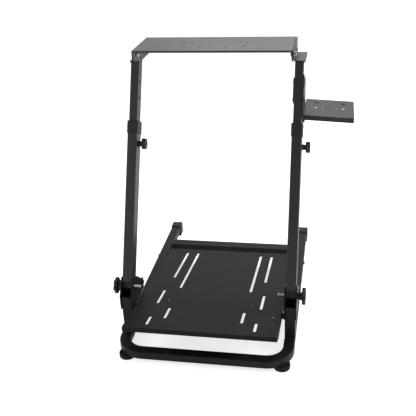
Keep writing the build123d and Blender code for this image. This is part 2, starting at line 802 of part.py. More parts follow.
# Shifter arm: a plate on the right upper tube's outer face that reaches back under the shifter
with BuildPart() as shifter_arm:
    with BuildSketch(across(arm_face - plate_thickness)):
        with BuildLine():
            FilletPolyline(
                upright_point(-upper_depth / 2, arm_start),
                upright_point(-upper_depth / 2, arm_end),
                upright_point(upper_depth / 2, arm_end),
                (arm_rear, arm_rear_top),
                (arm_rear, arm_rear_bottom),
                (upright_point(upper_depth / 2, arm_start)[0], arm_rear_bottom),
                radius=bracket_corner,
                close=True,
            )
        make_face()
        with Locations(*[upright_point(*spot) for spot in arm_bolt_spots]):
            Circle(arm_bolt_radius, mode=Mode.SUBTRACT)
        with Locations(*shifter_bolt_spots):
            Circle(shifter_bolt_radius, mode=Mode.SUBTRACT)
    extrude(amount=plate_thickness)
shifter_arm.part.label = "shifter_arm"
export_step(shifter_arm.part, "parts/shifter_arm.step")

# Clamp plate on the inner face of the same tube
with BuildPart() as shifter_clamp_plate:
    with BuildSketch(beside_upright(rail_centre - upper_width / 2 - plate_thickness)):
        with Locations((0, arm_bolt_middle)):
            RectangleRounded(upper_depth, 2 * clamp_half_length, bracket_corner)
        with Locations(*arm_bolt_spots):
            Circle(arm_bolt_radius, mode=Mode.SUBTRACT)
    extrude(amount=plate_thickness)
shifter_clamp_plate.part.label = "shifter_clamp_plate"
export_step(shifter_clamp_plate.part, "parts/shifter_clamp_plate.step")

# Two bolts through arm, tube and clamp plate
with BuildPart() as shifter_arm_bolts:
    arm_hex = arm_bolt_radius * hex_height_per_radius
    arm_grip = upper_width + 2 * plate_thickness
    for spot in arm_bolt_spots:
        with BuildSketch(beside_upright(rail_centre - arm_grip / 2 - arm_hex)):
            with Locations(spot):
                Circle(arm_bolt_radius)
        extrude(amount=arm_grip + 2 * arm_hex)
        for face in (-arm_grip / 2 - arm_hex, arm_grip / 2):
            with BuildSketch(beside_upright(rail_centre + face)):
                with Locations(spot):
                    hex_sketch(arm_bolt_radius)
            extrude(amount=arm_hex)
shifter_arm_bolts.part.label = "shifter_arm_bolts"
export_step(shifter_arm_bolts.part, "parts/shifter_arm_bolts.step")

# Shifter plate: drooping sheet with lips, hung by a flange on the arm's outer face
with BuildPart() as shifter_plate:
    with BuildSketch(shifter_plane(plate_thickness)):
        with Locations((shifter_width / 2, shifter_depth / 2)):
            Rectangle(shifter_width, shifter_depth)
        with Locations((shifter_width / 2, shifter_pair_back)):
            with GridLocations(2 * shifter_pair_across, 0, 2, 1):
                Circle(shifter_hole_radius, mode=Mode.SUBTRACT)
        with Locations((shifter_width / 2, shifter_slot_back)):
            with GridLocations(2 * shifter_pair_across, 0, 2, 1):
                SlotOverall(shifter_slot_length, 2 * shifter_slot_radius, mode=Mode.SUBTRACT)
        with Locations((shifter_width / 2, shifter_small_back)):
            with GridLocations(2 * shifter_small_across, shifter_small_pitch, 2, 2):
                Circle(shifter_small_radius, mode=Mode.SUBTRACT)
    extrude(amount=plate_thickness)
    with BuildSketch(shifter_plane(shifter_lip)):
        for near in (plate_thickness / 2, shifter_depth - plate_thickness / 2):
            with Locations((shifter_width / 2, near)):
                Rectangle(shifter_width - 2 * plate_thickness, plate_thickness)
        with Locations((shifter_width - plate_thickness / 2, shifter_depth / 2)):
            Rectangle(plate_thickness, shifter_depth)
    extrude(amount=shifter_lip)
    with BuildSketch(across(arm_face)):
        with BuildLine():
            Polyline(
                (shifter_front, shifter_top),
                (shifter_front + shifter_depth, shifter_top),
                (shifter_front + shifter_depth, shifter_top - shifter_flange),
                (shifter_front, shifter_top - shifter_flange),
                close=True,
            )
        make_face()
        with Locations(*shifter_bolt_spots):
            Circle(shifter_bolt_radius, mode=Mode.SUBTRACT)
    extrude(amount=plate_thickness)
    split(bisect_by=across(arm_face), keep=Keep.TOP)
shifter_plate.part.label = "shifter_plate"
export_step(shifter_plate.part, "parts/shifter_plate.step")

# Two bolts through the arm and the shifter plate's flange
with BuildPart() as shifter_plate_bolts:
    plate_hex = shifter_bolt_radius * hex_height_per_radius
    for spot in shifter_bolt_spots:
        with BuildSketch(across(arm_face - plate_thickness - plate_hex)):
            with Locations(spot):
                Circle(shifter_bolt_radius)
        extrude(amount=2 * plate_thickness + 2 * plate_hex)
        for face in (-plate_thickness - plate_hex, plate_thickness):
            with BuildSketch(across(arm_face + face)):
                with Locations(spot):
                    hex_sketch(shifter_bolt_radius)
            extrude(amount=plate_hex)
shifter_plate_bolts.part.label = "shifter_plate_bolts"
export_step(shifter_plate_bolts.part, "parts/shifter_plate_bolts.step")
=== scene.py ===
import logging
import math
from dataclasses import dataclass
from enum import Enum
from typing import Callable, Sequence

import bmesh
import bpy
from mathutils import Matrix, Vector


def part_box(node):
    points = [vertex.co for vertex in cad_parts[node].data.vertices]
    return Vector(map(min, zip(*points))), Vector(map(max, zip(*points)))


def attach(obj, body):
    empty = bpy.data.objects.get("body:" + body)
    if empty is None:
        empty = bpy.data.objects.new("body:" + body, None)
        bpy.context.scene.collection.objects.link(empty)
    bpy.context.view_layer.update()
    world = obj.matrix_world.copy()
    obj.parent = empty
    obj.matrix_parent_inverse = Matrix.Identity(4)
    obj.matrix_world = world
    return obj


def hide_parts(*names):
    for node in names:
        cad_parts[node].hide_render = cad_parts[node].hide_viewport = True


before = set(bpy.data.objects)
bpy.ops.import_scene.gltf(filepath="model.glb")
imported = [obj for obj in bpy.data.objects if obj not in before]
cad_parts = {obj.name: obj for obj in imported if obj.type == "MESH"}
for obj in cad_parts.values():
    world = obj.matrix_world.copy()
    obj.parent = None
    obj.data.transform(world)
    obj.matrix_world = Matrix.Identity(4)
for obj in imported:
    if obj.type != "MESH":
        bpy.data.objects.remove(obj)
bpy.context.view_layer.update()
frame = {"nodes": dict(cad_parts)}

log = logging.getLogger("wheel_stand")

MM = 0.001
SIDES = ("left", "right")
LEAN = math.radians(26.0)
FLAT_ANGLE = math.radians(0.6)
WELD_DISTANCE = 2e-6
LEVEL_SLACK = 0.2 * MM
EDGE_SLACK = 0.5 * MM
RIGHTWARD = Vector((1.0, 0.0, 0.0))
BACKWARD = Vector((0.0, 1.0, 0.0))
REARWARD = Vector((0.0, math.cos(LEAN), -math.sin(LEAN)))


class Body(Enum):
    """Moving bodies of the stand, as the frame names them."""

    BASE = "base"
    UPRIGHTS = "uprights"
    SLIDE = "height_slide"
    WHEEL = "wheel_mount"


class HeadStyle(Enum):
    """What stands at an end of a bolt."""

    HEX = "hex"
    LOCK_NUT = "lock_nut"
    BUTTON = "button"


# Shader expressions


class Wire:
    """A socket or number that takes part in shader arithmetic."""

    def __init__(self, graph: "Graph", source: object) -> None:
        """Keep the graph and the socket or number.

        Args:
            graph: The graph that the maths nodes are added to.
            source: An output socket, or a number.
        """
        self.graph = graph
        self.source = source

    def _maths(self, operation: str, *values: object) -> "Wire":
        """Add one Math node.

        Args:
            operation: The Math node's operation.
            values: Its inputs in order, wires or numbers.

        Returns:
            The node's output as a wire.
        """
        links = {index: value for index, value in enumerate(values)}
        return self.graph.add("ShaderNodeMath", {"operation": operation}, links)

    def __add__(self, other: object) -> "Wire":
        """Sum of two values."""
        return self._maths("ADD", self, other)

    def __radd__(self, other: object) -> "Wire":
        """Sum with the wire on the right."""
        return self._maths("ADD", other, self)

    def __sub__(self, other: object) -> "Wire":
        """Difference of two values."""
        return self._maths("SUBTRACT", self, other)

    def __rsub__(self, other: object) -> "Wire":
        """Difference with the wire on the right."""
        return self._maths("SUBTRACT", other, self)

    def __mul__(self, other: object) -> "Wire":
        """Product of two values."""
        return self._maths("MULTIPLY", self, other)

    def __rmul__(self, other: object) -> "Wire":
        """Product with the wire on the right."""
        return self._maths("MULTIPLY", other, self)

    def clamped(self) -> "Wire":
        """The value held between nought and one."""
        return self._maths("MINIMUM", self._maths("MAXIMUM", self, 0.0), 1.0)

    def rising(self, low: float, high: float) -> "Wire":
        """A smooth step from nought at low to one at high.

        Args:
            low: Value at which the step starts.
            high: Value at which it ends.

        Returns:
            The step as a wire.
        """
        settings = {"interpolation_type": "SMOOTHSTEP"}
        links = {"Value": self, "From Min": low, "From Max": high}
        return self.graph.add("ShaderNodeMapRange", settings, links)


class Graph:
    """A node tree with one way to add any node."""

    def __init__(self, tree: bpy.types.NodeTree) -> None:
        """Empty the tree.

        Args:
            tree: Node tree of a material or world.
        """
        self.tree = tree
        tree.nodes.clear()

    def add(
        self,
        kind: str,
        settings: dict[str, object] | None = None,
        inputs: dict[object, object] | None = None,
        output: int | str = 0,
    ) -> Wire:
        """Add a node, give it its settings and then its sockets.

        Args:
            kind: Blender's type name of the node.
            settings: Properties, which are set first.
            inputs: Sockets by name or number, with a value, wire or vector each.
            output: Name or number of the output that the wire stands for.

        Returns:
            The chosen output as a wire.
        """
        node = self.tree.nodes.new(kind)
        for name, value in (settings or {}).items():
            setattr(node, name, value)
        for name, value in (inputs or {}).items():
            socket = node.inputs[name]
            if isinstance(value, Wire):
                value = value.source
            if isinstance(value, bpy.types.NodeSocket):
                self.tree.links.new(value, socket)
            else:
                socket.default_value = value
        return Wire(self, node.outputs[output] if node.outputs else node)

    def place(self) -> Wire:
        """Object coordinates, which stay with the piece."""
        return self.add("ShaderNodeTexCoord", output="Object")

    def noise(self, size: float, detail: float = 2.0, stretch: Sequence[float] = (1, 1, 1)) -> Wire:
        """Noise of a given grain.

        Args:
            size: Size of the grain in metres.
            detail: Number of finer layers.
            stretch: Scale of the grain on each axis.

        Returns:
            The noise value as a wire.
        """
        scaling = {0: self.place(), 1: stretch}
        scaled = self.add("ShaderNodeVectorMath", {"operation": "MULTIPLY"}, scaling)
        links = {"Vector": scaled, "Scale": 1.0 / size, "Detail": detail}
        return self.add("ShaderNodeTexNoise", None, links, "Fac")

    def blend(self, factor: Wire, first: Sequence[float], second: Sequence[float]) -> Wire:
        """Mix two colours.

        Args:
            factor: Share of the second colour.
            first: Colour at nought.
            second: Colour at one.

        Returns:
            The mixed colour as a wire.
        """
        links = {"Factor": factor, 6: (*first, 1.0), 7: (*second, 1.0)}
        return self.add("ShaderNodeMix", {"data_type": "RGBA"}, links, 2)

    def bump(self, height: Wire, depth: float) -> Wire:
        """Bump from a height.

        Args:
            height: Height of the surface from nought to one.
            depth: Depth of the relief in metres.

        Returns:
            The normal as a wire.
        """
        links = {"Height": height, "Distance": depth, "Strength": 1.0}
        return self.add("ShaderNodeBump", None, links)

    def rays(self) -> tuple[Wire, Wire]:
        """Tell apart the rays that show a background.

        Returns:
            Share of rays seen straight or through glass, and share seen in reflections.
        """
        camera, glossy, through = (
            self.add("ShaderNodeLightPath", output=f"Is {kind} Ray")
            for kind in ("Camera", "Glossy", "Transmission")
        )
        seen = (camera + through).clamped()
        return seen, (glossy * (1.0 - seen)).clamped()

    def surface(self, sockets: dict[object, object]) -> None:
        """Close a material's tree with a Principled shader.

        Args:
            sockets: The shader's sockets by name, with a value or wire each.
        """
        shader = self.add("ShaderNodeBsdfPrincipled", None, sockets)
        self.add("ShaderNodeOutputMaterial", None, {"Surface": shader})


def new_material(name: str) -> tuple[bpy.types.Material, Graph]:
    """Make a material with an empty node tree.

    Args:
        name: The material's name.

    Returns:
        The material and its graph.
    """
    material = bpy.data.materials.new(name)
    material.use_nodes = True
    return material, Graph(material.node_tree)


# Finishes


@dataclass(frozen=True)
class PowderCoat:
    """Black powder coat with fine orange peel and a little dust."""

    name: str
    colour: tuple[float, float, float] = (0.008, 0.0085, 0.0095)
    dust_colour: tuple[float, float, float] = (0.06, 0.06, 0.062)
    dust_share: float = 0.12
    roughness: float = 0.42
    specular: float = 0.5
    streak_share: float = 0.0
    patch_size: float = 0.09
    fleck_size: float = 0.0016
    fleck_share: float = 0.25
    streak_size: float = 0.004
    streak_stretch: tuple[float, float, float] = (0.12, 1.0, 1.0)
    peel_size: float = 0.0011
    wave_per_peel: float = 6.0
    peel_depth: float = 0.00003

    def build(self) -> bpy.types.Material:
        """Make the material.

        Returns:
            The finished material.
        """
        material, graph = new_material(self.name)
        patch = graph.noise(self.patch_size, 4.0)
        fleck = graph.noise(self.fleck_size, 2.0)
        dust = patch.rising(0.5, 0.78) * self.dust_share
        speck = fleck.rising(0.70, 0.80) * self.fleck_share
        grain = graph.noise(self.streak_size, 3.0, self.streak_stretch)
        streak = grain.rising(0.45, 0.7) * self.streak_share
        colour = graph.blend((dust + speck + streak).clamped(), self.colour, self.dust_colour)
        peel = graph.noise(self.peel_size, 1.0)
        wave = graph.noise(self.peel_size * self.wave_per_peel, 1.0)
        relief = graph.bump(peel * 0.7 + wave * 0.3, self.peel_depth)
        rough = (self.roughness - 0.05) + patch * 0.08 + fleck * 0.03 + streak * 0.12
        graph.surface(
            {
                "Base Color": colour,
                "Roughness": rough,
                "Normal": relief,
                "Specular IOR Level": self.specular,
            }
        )
        return material


@dataclass(frozen=True)
class MouldedPlastic:
    """Black moulded plastic with a fine spark-eroded grain."""

    name: str
    colour: tuple[float, float, float] = (0.007, 0.007, 0.0075)
    scuff_colour: tuple[float, float, float] = (0.035, 0.035, 0.036)
    roughness: float = 0.55
    specular: float = 0.4
    patch_size: float = 0.02
    grain_size: float = 0.0007
    grain_depth: float = 0.00004

    def build(self) -> bpy.types.Material:
        """Make the material.

        Returns:
            The finished material.
        """
        material, graph = new_material(self.name)
        patch = graph.noise(self.patch_size, 3.0)
        grain = graph.noise(self.grain_size, 2.0)
        colour = graph.blend(patch.rising(0.55, 0.85) * 0.3, self.colour, self.scuff_colour)
        graph.surface(
            {
                "Base Color": colour,
                "Roughness": (self.roughness - 0.05) + patch * 0.1,
                "Normal": graph.bump(grain, self.grain_depth),
                "Specular IOR Level": self.specular,
            }
        )
        return material


@dataclass(frozen=True)
class ZincSteel:
    """Bright zinc-plated steel with fine turning marks."""

    name: str
    colour: tuple[float, float, float] = (0.62, 0.62, 0.6)
    dull_colour: tuple[float, float, float] = (0.34, 0.34, 0.33)
    roughness: float = 0.3
    patch_size: float = 0.004
    mark_size: float = 0.0006
    mark_stretch: tuple[float, float, float] = (6.0, 0.6, 0.6)
    mark_depth: float = 0.00002

    def build(self) -> bpy.types.Material:
        """Make the material.

        Returns:
            The finished material.
        """
        material, graph = new_material(self.name)
        patch = graph.noise(self.patch_size, 3.0)
        mark = graph.noise(self.mark_size, 1.0, self.mark_stretch)
        colour = graph.blend(patch.rising(0.4, 0.75), self.colour, self.dull_colour)
        graph.surface(
            {
                "Base Color": colour,
                "Metallic": 1.0,
                "Roughness": (self.roughness - 0.08) + patch * 0.2,
                "Normal": graph.bump(mark, self.mark_depth),
            }
        )
        return material


@dataclass(frozen=True)
class Finishes:
    """Every finish on the stand, made once."""

    frame: bpy.types.Material
    base: bpy.types.Material
    bore: bpy.types.Material
    deck: bpy.types.Material
    plate: bpy.types.Material
    # Painted shade: near-black finish for the walls of holes, standing in for their shadow.
    side_plate: bpy.types.Material
    plastic: bpy.types.Material
    knob: bpy.types.Material
    rubber: bpy.types.Material
    steel: bpy.types.Material
    black_bolt: bpy.types.Material

    @classmethod
    def make(cls) -> "Finishes":
        """Build all the materials.

        Returns:
            The stand's finishes.
        """
        deck_tone = (0.010, 0.0105, 0.0115)
        # Near-black tone of the hole walls: painted shade.
        bore_tone = (0.004, 0.004, 0.0045)
        return cls(
            frame=PowderCoat("frame_coat").build(),
            base=PowderCoat("base_coat", roughness=0.46, specular=0.22).build(),
            # Hole walls: painted shade, darker and duller than the frame coat.
            bore=PowderCoat("bore_coat", colour=bore_tone, roughness=0.7, specular=0.1).build(),
            deck=PowderCoat("deck_coat", colour=deck_tone, roughness=0.55, specular=0.13).build(),
            plate=PowderCoat("plate_coat", roughness=0.36, specular=0.6, streak_share=0.35).build(),
            side_plate=PowderCoat(
                "side_plate_coat", roughness=0.4, specular=0.42, streak_share=0.2
            ).build(),
            plastic=MouldedPlastic("cap_plastic_grain").build(),
            knob=MouldedPlastic("knob_plastic_grain", roughness=0.5).build(),
            rubber=MouldedPlastic("foot_rubber_grain", roughness=0.75, specular=0.25).build(),
            steel=ZincSteel("zinc_steel").build(),
            black_bolt=PowderCoat("black_bolt_coat", roughness=0.35, dust_share=0.05).build(),
        )


# Mesh helpers


def new_piece(
    name: str,
    mesh: bmesh.types.BMesh,
    material: bpy.types.Material,
    body: str,
    smooth_angle: float = 32.0,
) -> bpy.types.Object:
    """Turn a bmesh into a piece that rides on a body.

    Args:
        name: Name of the piece.
        mesh: Its geometry in the stand's frame, freed afterwards.
        material: Its finish.
        body: The body it moves with.
        smooth_angle: Edges sharper than this many degrees stay sharp.

    Returns:
        The new object.
    """
    data = bpy.data.meshes.new(name)
    bmesh.ops.recalc_face_normals(mesh, faces=mesh.faces)
    mesh.to_mesh(data)
    mesh.free()
    data.shade_smooth()
    data.set_sharp_from_angle(angle=math.radians(smooth_angle))
    data.materials.append(material)
    piece = bpy.data.objects.new(name, data)
    bpy.context.scene.collection.objects.link(piece)
    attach(piece, body)
    return piece


def cad_bmesh(node: str) -> bmesh.types.BMesh:
    """Read a CAD node as a clean closed mesh.

    Args:
        node: Name of the CAD node.

    Returns:
        A bmesh with joined corners and flat faces merged.
    """
    source = frame["nodes"][node].data
    mesh = bmesh.new()
    corners = [mesh.verts.new(vertex.co) for vertex in source.vertices]
    for polygon in source.polygons:
        mesh.faces.new([corners[index] for index in polygon.vertices])
    bmesh.ops.remove_doubles(mesh, verts=mesh.verts, dist=WELD_DISTANCE)
    bmesh.ops.dissolve_limit(mesh, angle_limit=FLAT_ANGLE, verts=mesh.verts, edges=mesh.edges)
    return mesh


def round_edges(
    mesh: bmesh.types.BMesh,
    radius: float,
    segments: int,
    sharper_than: float = 40.0,
    where: Callable[[bmesh.types.BMEdge], bool] | None = None,
) -> None:
    """Round the sharp edges of a mesh.

    Args:
        mesh: The mesh, changed in place.
        radius: Size of the rounding in metres.
        segments: Number of faces across it.
        sharper_than: Only edges that turn by more degrees are rounded.
        where: Says of an edge if it is to be rounded.
    """
    limit = math.radians(sharper_than)
    edges = [
        edge
        for edge in mesh.edges
        if len(edge.link_faces) == 2
        and edge.calc_face_angle() > limit
        and (where is None or where(edge))
    ]
    bmesh.ops.bevel(
        mesh,
        geom=edges,
        offset=radius,
        segments=segments,
        profile=0.5,
        affect="EDGES",
        clamp_overlap=True,
    )


def ring_faces(mesh: bmesh.types.BMesh, rings: Sequence[Sequence[bmesh.types.BMVert]]) -> None:
    """Join rings of corners into a closed skin with both ends capped.

    Args:
        mesh: The mesh that the faces are added to.
        rings: Rings with the same number of corners each.
    """
    for first, second in zip(rings, rings[1:]):
        for index, corner in enumerate(first):
            after = (index + 1) % len(first)
            mesh.faces.new((corner, first[after], second[after], second[index]))
    mesh.faces.new(rings[0])
    mesh.faces.new(rings[-1])


@dataclass(frozen=True)
class Spindle:
    """A straight axis about which round pieces are turned."""

    start: Vector
    along: Vector
    spoke: Vector
    length: float = 0.0
    radius: float = 0.0

    @classmethod
    def of_node(cls, node: str, along: Vector, spoke: Vector) -> "Spindle":
        """Measure a CAD node about an axis through its middle.

        Args:
            node: Name of the CAD node.
            along: Direction of the axis, from the seat outwards.
            spoke: Direction of the first spoke, at right angles to the axis.

        Returns:
            The axis with the node's length along it and its radius on the spoke.
        """
        points = [vertex.co for vertex in frame["nodes"][node].data.vertices]
        side = along.cross(spoke)
        reaches = [[point @ way for point in points] for way in (along, spoke, side)]
        (near, far), (low, high), (left, right) = [(min(reach), max(reach)) for reach in reaches]
        start = along * near + spoke * ((low + high) / 2) + side * ((left + right) / 2)
        return cls(start, along, spoke, far - near, (high - low) / 2)

    def point(self, distance: float, radius: float, turn: float) -> Vector:
        """A point given about the axis.

        Args:
            distance: Distance along the axis.
            radius: Distance from it.
            turn: Angle from the first spoke in radians.

        Returns:
            The point in the stand's frame.
        """
        side = self.along.cross(self.spoke)
        arm = self.spoke * math.cos(turn) + side * math.sin(turn)
        return self.start + self.along * distance + arm * radius

    def ring(
        self, mesh: bmesh.types.BMesh, distance: float, reach: Callable[[float], float], sides: int
    ) -> list[bmesh.types.BMVert]:
        """Add a ring of corners.

        Args:
            mesh: The mesh that the corners are added to.
            distance: Distance along the axis.
            reach: Radius of the ring at an angle.
            sides: Number of corners.

        Returns:
            The corners in order.
        """
        turns = [2 * math.pi * index / sides for index in range(sides)]
        return [mesh.verts.new(self.point(distance, reach(turn), turn)) for turn in turns]


def lathe(
    mesh: bmesh.types.BMesh,
    profile: Sequence[tuple[float, float]],
    spindle: Spindle,
    sides: int = 40,
) -> None:
    """Turn a profile about an axis.

    Args:
        mesh: The mesh that the surface is added to.
        profile: Pairs of distance along the axis and radius, in metres.
        spindle: The axis.
        sides: Number of faces round the axis.
    """
    rings = [
        spindle.ring(mesh, along, lambda turn, size=radius: size, sides) for along, radius in profile
    ]
    ring_faces(mesh, rings)


def islands(node: str) -> list[tuple[Vector, Vector]]:
    """Boxes of the separate solids in a CAD node.

    Args:
        node: Name of the CAD node.

    Returns:
        Lowest and highest corner of each solid.
    """
    mesh = cad_bmesh(node)
    waiting = set(mesh.verts)
    boxes = []
    while waiting:
        stack = [waiting.pop()]
        points = []
        while stack:
            vertex = stack.pop()
            points.append(vertex.co.copy())
            for edge in vertex.link_edges:
                other = edge.other_vert(vertex)
                if other in waiting:
                    waiting.discard(other)
                    stack.append(other)
        low = Vector(min(point[axis] for point in points) for axis in range(3))
        high = Vector(max(point[axis] for point in points) for axis in range(3))
        boxes.append((low, high))
    mesh.free()
    return sorted(boxes, key=lambda box: tuple(box[0]))


@dataclass(frozen=True)
class FoldedSheet:
    """The top face of a folded sheet, against which its edges are told apart."""

    up: Vector
    top: float
    corners: list[Vector]
    fold_reach: float = 2.5 * MM
    bore_inset: float = 5 * MM

    @classmethod
    def of_mesh(cls, mesh: bmesh.types.BMesh) -> "FoldedSheet":
        """Find the top face of a folded sheet.

        Args:
            mesh: The sheet's mesh.

        Returns:
            Its top face and corners.
        """
        upward = [face for face in mesh.faces if face.normal.z > 0.5]
        up = max(upward, key=lambda face: face.calc_area()).normal.copy()
        corners = [vertex.co.copy() for vertex in mesh.verts]
        return cls(up, max(corner @ up for corner in corners), corners)

    def from_rim(self, point: Vector, outward: Vector) -> float:
        """Distance of a point from the sheet's outermost corner in a direction."""
        return max(corner @ outward for corner in self.corners) - point @ outward

    def is_bend(self, edge: bmesh.types.BMEdge) -> bool:
        """Say if an edge is an outer fold of the sheet.

        Args:
            edge: An edge of the sheet.

        Returns:
            True on the fold between the top face and a lip or flange.
        """
        flat = [face for face in edge.link_faces if face.normal @ self.up > 0.98]
        steep = [face for face in edge.link_faces if abs(face.normal @ self.up) < 0.2]
        if len(flat) != 1 or len(steep) != 1:
            return False
        middle = (edge.verts[0].co + edge.verts[1].co) / 2
        return self.from_rim(middle, steep[0].normal) < self.fold_reach

    def is_bore(self, face: bmesh.types.BMFace, sheet: float) -> bool:
        """Say if a face is the wall of a hole through the sheet.

        Args:
            face: A face of the sheet.
            sheet: Thickness of the sheet.

        Returns:
            True on a hole's or slot's wall.
        """
        middle = face.calc_center_median()
        depth = self.top - middle @ self.up
        steep = abs(face.normal @ self.up) < 0.4
        return steep and depth < sheet and self.from_rim(middle, face.normal) > self.bore_inset


def shift_corners(
    mesh: bmesh.types.BMesh, chosen: Callable[[Vector], bool], shift: Callable[[Vector], Vector]
) -> None:
    """Move some corners of a mesh.

    Args:
        mesh: The mesh, changed in place.
        chosen: Says of a corner if it moves.
        shift: How far the corner moves.
    """
    for vertex in mesh.verts:
        if chosen(vertex.co):
            vertex.co += shift(vertex.co)


def middle_plane() -> float:
    """Find the plane halfway between the rails.

    Returns:
        Its place on the X axis.
    """
    left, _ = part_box("left_rail")
    _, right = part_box("right_rail")
    return (left.x + right.x) / 2


# Pieces


@dataclass(frozen=True)
class RoundedPiece:
    """A CAD solid carried over with softly rounded edges."""

    node: str
    body: str
    slot: str
    material: bpy.types.Material
    radius: float = 0.8 * MM
    segments: int = 2
    reshape: Callable[[bmesh.types.BMesh], None] | None = None

    def soften(self, mesh: bmesh.types.BMesh) -> None:
        """Round the sharp edges of the mesh."""
        round_edges(mesh, self.radius, self.segments)

    def build(self) -> bpy.types.Object:
        """Make the piece in place of its CAD node.

        Returns:
            The new object.
        """
        mesh = cad_bmesh(self.node)
        if self.reshape is not None:
            self.reshape(mesh)
        self.soften(mesh)
        piece = new_piece(f"{self.node}_rounded", mesh, self.material, self.body)
        weighted = piece.modifiers.new("even_normals", "WEIGHTED_NORMAL")
        weighted.keep_sharp = True
        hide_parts(self.node)
        log.info("rounded %s", self.node)
        return piece


@dataclass(frozen=True)
class FoldedPiece(RoundedPiece):
    """A folded sheet with rounded bends and painted shade on its hole walls."""

    radius: float = 0.3 * MM
    # Painted-shade finish for the walls of the holes.
    bore: bpy.types.Material | None = None
    bend: float = 2.0 * MM
    bend_segments: int = 4
    sheet: float = 3.0 * MM

    def soften(self, mesh: bmesh.types.BMesh) -> None:
        """Round the bends and the edges, and give the walls of the holes the painted-shade finish.

        Args:
            mesh: The sheet's mesh, changed in place.
        """
        fold = FoldedSheet.of_mesh(mesh)
        round_edges(mesh, self.bend, self.bend_segments, where=fold.is_bend)
        super().soften(mesh)
        mesh.normal_update()
        for face in mesh.faces:
            # Hole walls take the second slot, the painted-shade finish.
            face.material_index = int(fold.is_bore(face, self.sheet))

    def build(self) -> bpy.types.Object:
        """Make the sheet and give its hole walls their painted-shade finish.

        Returns:
            The new object.
        """
        piece = super().build()
        # The second slot holds the painted shade of the hole walls.
        piece.data.materials.append(self.bore)
        return piece


@dataclass
class StarKnob:
    """A moulded star knob with rounded lobes and a capped hub."""

    node: str
    body: str
    outward: Vector
    spoke: Vector
    hub: float
    lobes: int = 6
    lobe_depth: float = 0.18
    hub_share: float = 0.42
    rounding: float = 0.0022
    chamfer: float = 0.0006
    dish: float = 0.0012
    sides: int = 96

    def outline(self, radius: float, turn: float) -> float:
        """Distance of the knob's rim from its axis.

        Args:
            radius: Greatest radius.
            turn: Angle in radians.

        Returns:
            The rim's distance in metres.
        """
        wave = 0.5 + 0.5 * math.cos(self.lobes * turn)
        return radius * (1.0 - self.lobe_depth + self.lobe_depth * wave**0.75)

    def build(self, finishes: Finishes) -> None:
        """Make the knob.

        Args:
            finishes: The stand's finishes.
        """
        spindle = Spindle.of_node(self.node, self.outward, self.spoke)
        radius, length, disc, r = spindle.radius, spindle.length, self.hub, self.rounding
        hub_radius = radius * self.hub_share
        steps: list[tuple[float, float, bool]] = [
            (0.0, hub_radius * 0.9, False),
            (self.chamfer, hub_radius, False),
            (disc - self.chamfer, hub_radius * 1.12, False),
            (disc, hub_radius * 1.3, False),
            (disc + 0.0001, 1.0 - 1.2 * r / radius, True),
            (disc + r * 0.3, 1.0 - 0.35 * r / radius, True),
            (disc + r, 1.0, True),
            (length - r, 1.0, True),
            (length - r * 0.3, 1.0 - 0.35 * r / radius, True),
            (length, 1.0 - 1.2 * r / radius, True),
            (length, hub_radius * 1.25, False),
            (length - self.dish, hub_radius * 1.12, False),
            (length - self.dish, hub_radius * 0.4, False),
        ]
        mesh = bmesh.new()
        rings = []
        for along, size, lobed in steps:

            def reach(turn: float) -> float:
                """Radius of this ring at an angle."""
                return self.outline(radius, turn) * size if lobed else size

            rings.append(spindle.ring(mesh, along, reach, self.sides))
        ring_faces(mesh, rings)
        piece = new_piece(
            f"{self.node}_star", mesh, finishes.knob, self.body, smooth_angle=50.0
        )
        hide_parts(self.node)
        log.info("star knob %s", self.node)


